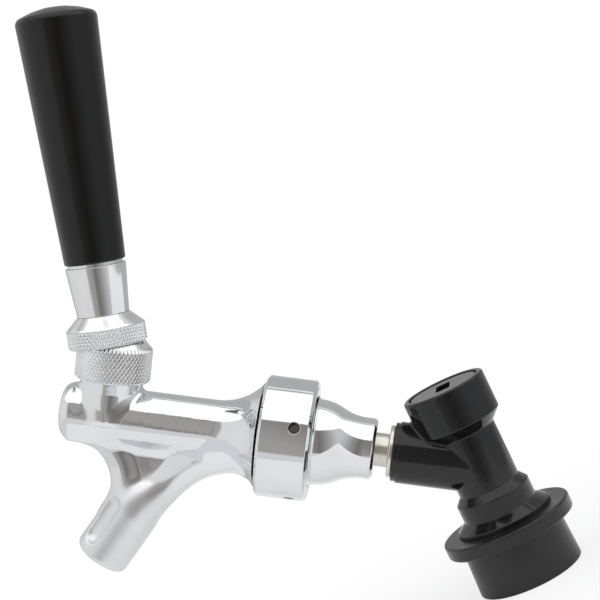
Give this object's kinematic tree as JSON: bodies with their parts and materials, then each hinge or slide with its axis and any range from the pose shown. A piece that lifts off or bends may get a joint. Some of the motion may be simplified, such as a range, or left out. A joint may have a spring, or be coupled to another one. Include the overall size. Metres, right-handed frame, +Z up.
{
  "type": "beer faucet",
  "caption": "Chrome beer faucet with tall black handle, coupled by a short shank adapter to a black ball-lock keg disconnect; lever, valve shaft, locking sleeve and poppet move.",
  "frame": {"origin": "on the disconnect's axis, in the plane of the rim that goes over the keg post", "axes": "+Z up along the disconnect's barrel, -X towards the faucet's front, Y across, with the middle plane at y = 0"},
  "size_m": [0.1475, 0.0422, 0.2245],
  "materials": {
    "chrome": "polished",
    "stainless": "machined",
    "spring_steel": "drawn wire",
    "brass": "machined",
    "handle_black": "satin gloss",
    "disconnect_black": "glossy",
    "sleeve_black": "satin",
    "rubber": "matt",
    "nylon": "matt"
  },
  "bodies": {
    "housing": {"faucet_body": "chrome", "bonnet": "chrome", "coupling_nut": "chrome", "shank_adapter": "chrome", "disconnect_stud": "stainless", "sleeve_ring": "stainless", "snap_ring": "stainless", "friction_washer": "stainless", "poppet_spring": "spring_steel", "sleeve_spring": "spring_steel", "disconnect_body": "disconnect_black", "disconnect_cap": "disconnect_black", "cap_gasket": "rubber", "coupling_washer": "rubber", "ball_washer": "rubber", "flare_seal": "nylon", "lever_bushing": "nylon"},
    "lever": {"faucet_lever": "stainless", "lever_collar": "chrome", "handle_ferrule": "chrome", "hanger_bolt": "stainless", "tap_handle": "handle_black"},
    "shaft": {"faucet_shaft": "brass", "shaft_seal": "rubber", "seat_washer": "rubber", "shaft_nut": "brass"},
    "sleeve": {"locking_sleeve": "sleeve_black"},
    "poppet": {"poppet": "stainless", "poppet_seal": "rubber"},
    "ball_1": {"locking_ball_1": "stainless"},
    "ball_2": {"locking_ball_2": "stainless"},
    "ball_3": {"locking_ball_3": "stainless"}
  },
  "joints": [
    {"name": "lever_hinge", "type": "hinge", "parent": "housing", "child": "lever", "pos_m": [-0.09233, 0, 0.11321], "axis": [0, 1, 0], "range_deg": [0, 30]},
    {"name": "shaft_slide", "type": "slide", "parent": "housing", "child": "shaft", "axis": [-0.8471, 0, 0.5314], "range_m": [0, 0.00716]},
    {"name": "sleeve_slide", "type": "slide", "parent": "housing", "child": "sleeve", "axis": [0, 0, 1], "range_m": [0, 0.0045], "stiffness_N_per_m": 900, "springref_m": -0.003, "deforming": ["sleeve_spring"]},
    {"name": "poppet_slide", "type": "slide", "parent": "housing", "child": "poppet", "axis": [0, 0, 1], "range_m": [0, 0.0035], "stiffness_N_per_m": 500, "springref_m": -0.005, "deforming": ["poppet_spring"]},
    {"name": "ball_slide_1", "type": "slide", "parent": "housing", "child": "ball_1", "axis": [0.5, 0.866, 0], "range_m": [0, 0.0012]},
    {"name": "ball_slide_2", "type": "slide", "parent": "housing", "child": "ball_2", "axis": [-1, 0, 0], "range_m": [0, 0.0012]},
    {"name": "ball_slide_3", "type": "slide", "parent": "housing", "child": "ball_3", "axis": [0.5, -0.866, 0], "range_m": [0, 0.0012]}
  ],
  "couplings": [
    {"joint": "shaft_slide", "follows": "lever_hinge", "m_per_rad": 0.013642},
    {"joint": "ball_slide_1", "follows": "sleeve_slide", "ratio": 0.26667},
    {"joint": "ball_slide_2", "follows": "sleeve_slide", "ratio": 0.26667},
    {"joint": "ball_slide_3", "follows": "sleeve_slide", "ratio": 0.26667}
  ]
}
